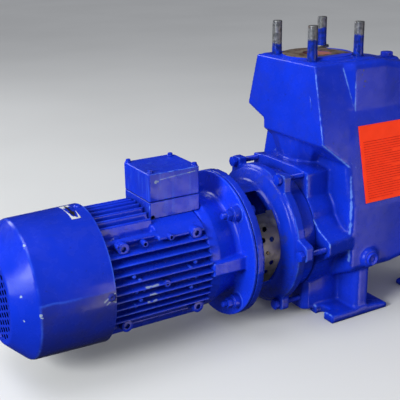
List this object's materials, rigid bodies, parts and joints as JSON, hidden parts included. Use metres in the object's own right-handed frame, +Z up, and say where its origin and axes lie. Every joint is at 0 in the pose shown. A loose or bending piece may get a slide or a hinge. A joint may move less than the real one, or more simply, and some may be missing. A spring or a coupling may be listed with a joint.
{
  "type": "self-priming centrifugal pump",
  "caption": "Close-coupled self-priming centrifugal pump: finned flange motor, lantern bracket, tall flared cast casing on slotted feet, discharge port on top and suction port at the end.",
  "frame": {"origin": "centre of the footprint's bounding box, on the floor under the feet", "axes": "+X along the shaft from the motor's fan end to the pump's suction end, +Z up, +Y to the far side; the shaft axis is 140 mm above the floor"},
  "size_m": [0.9024, 0.2893, 0.4962],
  "materials": {
    "motor_enamel": "gloss",
    "pump_enamel": "gloss",
    "bare_steel": "satin",
    "stainless_sheet": "satin",
    "black_plastic": "matte",
    "label_orange": "satin"
  },
  "bodies": {
    "root": {"fan_cowl": "motor_enamel", "fan_grille": "motor_enamel", "rear_end_shield": "motor_enamel", "motor_frame": "motor_enamel", "drive_end_shield": "motor_enamel", "terminal_box_base": "motor_enamel", "terminal_box_lid": "motor_enamel", "flange_bolt_1": "motor_enamel", "flange_bolt_2": "motor_enamel", "flange_bolt_3": "motor_enamel", "flange_bolt_4": "motor_enamel", "adapter_bracket": "pump_enamel", "seal_plate": "pump_enamel", "pump_casing": "pump_enamel", "front_cover": "pump_enamel", "fill_plug": "pump_enamel", "drain_plug": "pump_enamel", "bracket_bolt_1": "pump_enamel", "bracket_bolt_2": "pump_enamel", "bracket_bolt_3": "pump_enamel", "bracket_bolt_4": "pump_enamel", "bracket_bolt_5": "pump_enamel", "bracket_bolt_6": "pump_enamel", "cover_bolt_1": "pump_enamel", "cover_bolt_2": "pump_enamel", "cover_bolt_3": "pump_enamel", "cover_bolt_4": "pump_enamel", "fan_shaft": "bare_steel", "pump_shaft": "bare_steel", "stud_washer": "bare_steel", "discharge_stud_1": "bare_steel", "discharge_stud_2": "bare_steel", "discharge_stud_3": "bare_steel", "discharge_stud_4": "bare_steel", "suction_stud_1": "bare_steel", "suction_stud_2": "bare_steel", "suction_stud_3": "bare_steel", "suction_stud_4": "bare_steel", "guard_near": "stainless_sheet", "guard_far": "stainless_sheet", "cooling_fan": "black_plastic", "cable_entry_plug": "black_plastic", "side_label": "label_orange"}
  },
  "joints": []
}
